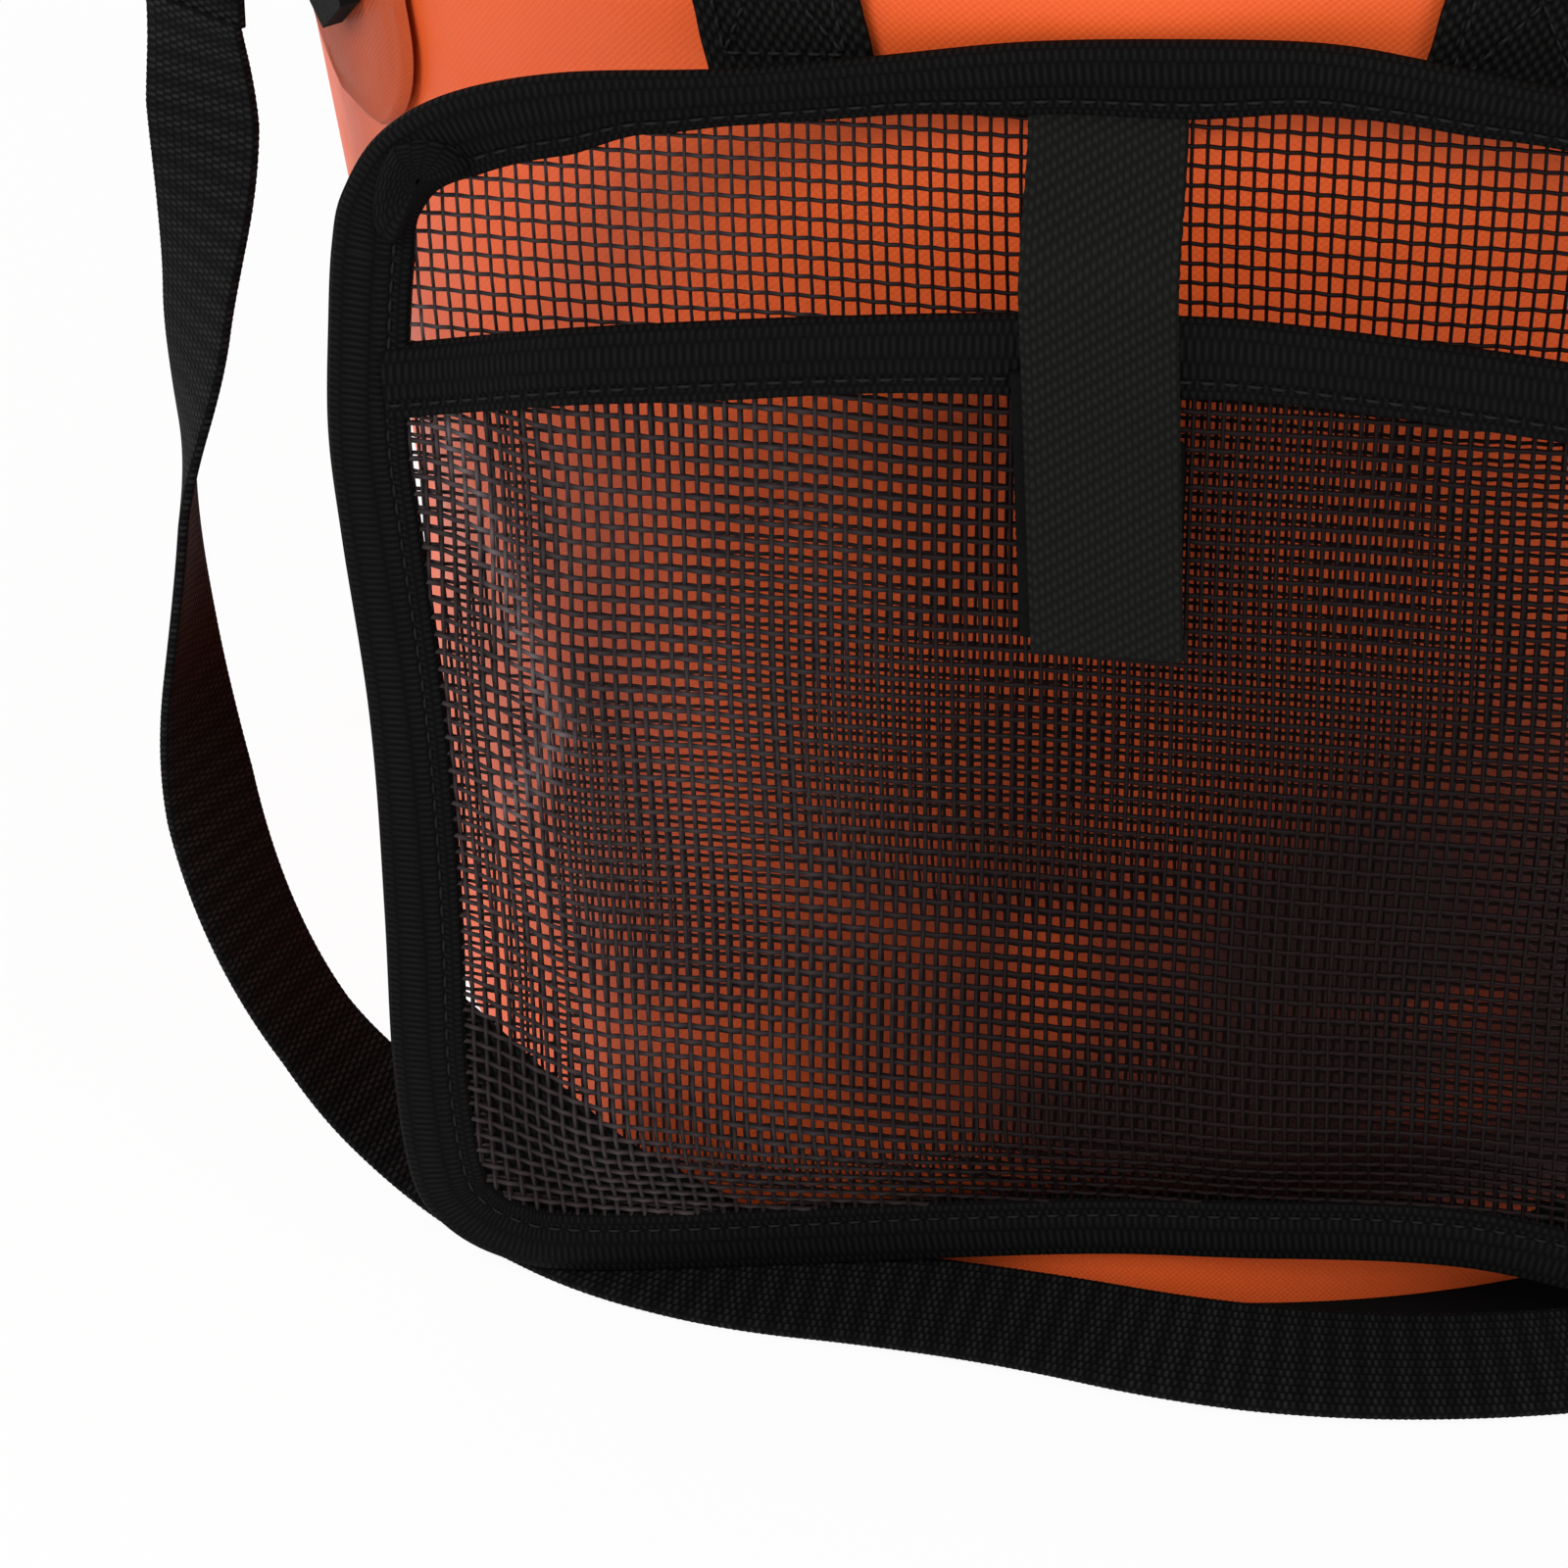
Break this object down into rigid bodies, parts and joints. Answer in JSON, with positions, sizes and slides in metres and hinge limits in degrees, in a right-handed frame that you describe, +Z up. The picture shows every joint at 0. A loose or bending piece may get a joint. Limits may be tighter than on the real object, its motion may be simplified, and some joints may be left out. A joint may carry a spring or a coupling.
{
  "type": "tool bucket",
  "caption": "Round soft-sided tool bucket with a mesh front pocket, webbing carry handles and a clip-on shoulder strap",
  "frame": {"origin": "centre of the base's underside, on the floor", "axes": "+Z up, -Y out of the front, where the mesh pocket is, +X to the right seen from the front"},
  "size_m": [0.3272, 0.3404, 0.4391],
  "materials": {
    "orange_tarpaulin": "satin, finely woven",
    "black_board": "matte",
    "hoop_rod": "matte",
    "black_binding": "ribbed tape",
    "black_mesh": "open coated mesh",
    "black_gusset": "plain cloth",
    "plated_steel": "polished plating",
    "black_fastener_tape": "hook and loop pile",
    "black_grip": "coated cloth",
    "black_webbing": "twill webbing"
  },
  "bodies": {
    "root": {"bucket_wall": "orange_tarpaulin", "base_disc": "orange_tarpaulin", "base_board": "black_board", "rim_hoop": "hoop_rod", "rim_hem": "orange_tarpaulin", "back_seam": "orange_tarpaulin", "front_left_leg": "black_webbing", "front_right_leg": "black_webbing", "back_left_leg": "black_webbing", "back_right_leg": "black_webbing", "ring_patch_left": "orange_tarpaulin", "ring_patch_right": "orange_tarpaulin", "ring_tab_left": "black_webbing", "ring_tab_right": "black_webbing", "swivel_eye_left": "plated_steel", "swivel_eye_right": "plated_steel", "strap_end_left": "black_webbing", "strap_end_right": "black_webbing", "shoulder_strap": "black_webbing", "pocket_back_panel": "black_mesh", "pocket_edge_binding": "black_binding", "pocket_front_panel": "black_mesh", "pocket_mouth_binding": "black_binding", "pocket_gusset_left": "black_gusset", "pocket_gusset_right": "black_gusset", "closure_loop_tape": "black_fastener_tape"},
    "front_handle": {"front_handle": "black_webbing", "front_grip": "black_grip"},
    "back_handle": {"back_handle": "black_webbing", "back_grip": "black_grip"},
    "closure_tab": {"closure_tab": "black_webbing", "closure_hook_tape": "black_fastener_tape"},
    "d_ring_left": {"d_ring_left": "plated_steel"},
    "hook_left": {"hook_body_left": "plated_steel"},
    "gate_left": {"hook_gate_left": "plated_steel"},
    "d_ring_right": {"d_ring_right": "plated_steel"},
    "hook_right": {"hook_body_right": "plated_steel"},
    "gate_right": {"hook_gate_right": "plated_steel"}
  },
  "joints": [
    {"name": "front_handle_fold", "type": "hinge", "parent": "root", "child": "front_handle", "pos_m": [0, -0.1556, 0.312], "axis": [1, 0, 0], "range_deg": [-85, 100]},
    {"name": "back_handle_fold", "type": "hinge", "parent": "root", "child": "back_handle", "pos_m": [0, 0.1556, 0.312], "axis": [1, 0, 0], "range_deg": [-100, 85]},
    {"name": "closure_tab_lift", "type": "hinge", "parent": "root", "child": "closure_tab", "pos_m": [0, -0.15067, 0.20357], "axis": [-1, 0, 0], "range_deg": [0, 88]},
    {"name": "d_ring_left_swing", "type": "hinge", "parent": "root", "child": "d_ring_left", "pos_m": [-0.13193, -0.09238, 0.26933], "axis": [0.5736, -0.8192, 0], "range_deg": [0, 2.5]},
    {"name": "hook_left_swivel", "type": "hinge", "parent": "root", "child": "hook_left", "pos_m": [-0.13763, -0.09637, 0.24778], "axis": [0, 0, 1], "range_deg": [-6, 6]},
    {"name": "gate_left_open", "type": "hinge", "parent": "hook_left", "child": "gate_left", "pos_m": [-0.1432, -0.10027, 0.23058], "axis": [-0.5736, 0.8192, 0], "range_deg": [0, 22], "stiffness_Nm_per_rad": 0.02},
    {"name": "d_ring_right_swing", "type": "hinge", "parent": "root", "child": "d_ring_right", "pos_m": [0.13193, -0.09238, 0.26933], "axis": [0.5736, 0.8192, 0], "range_deg": [0, 2.5]},
    {"name": "hook_right_swivel", "type": "hinge", "parent": "root", "child": "hook_right", "pos_m": [0.13763, -0.09637, 0.24778], "axis": [0, 0, 1], "range_deg": [-6, 6]},
    {"name": "gate_right_open", "type": "hinge", "parent": "hook_right", "child": "gate_right", "pos_m": [0.1432, -0.10027, 0.23058], "axis": [-0.5736, -0.8192, 0], "range_deg": [0, 22], "stiffness_Nm_per_rad": 0.02}
  ]
}
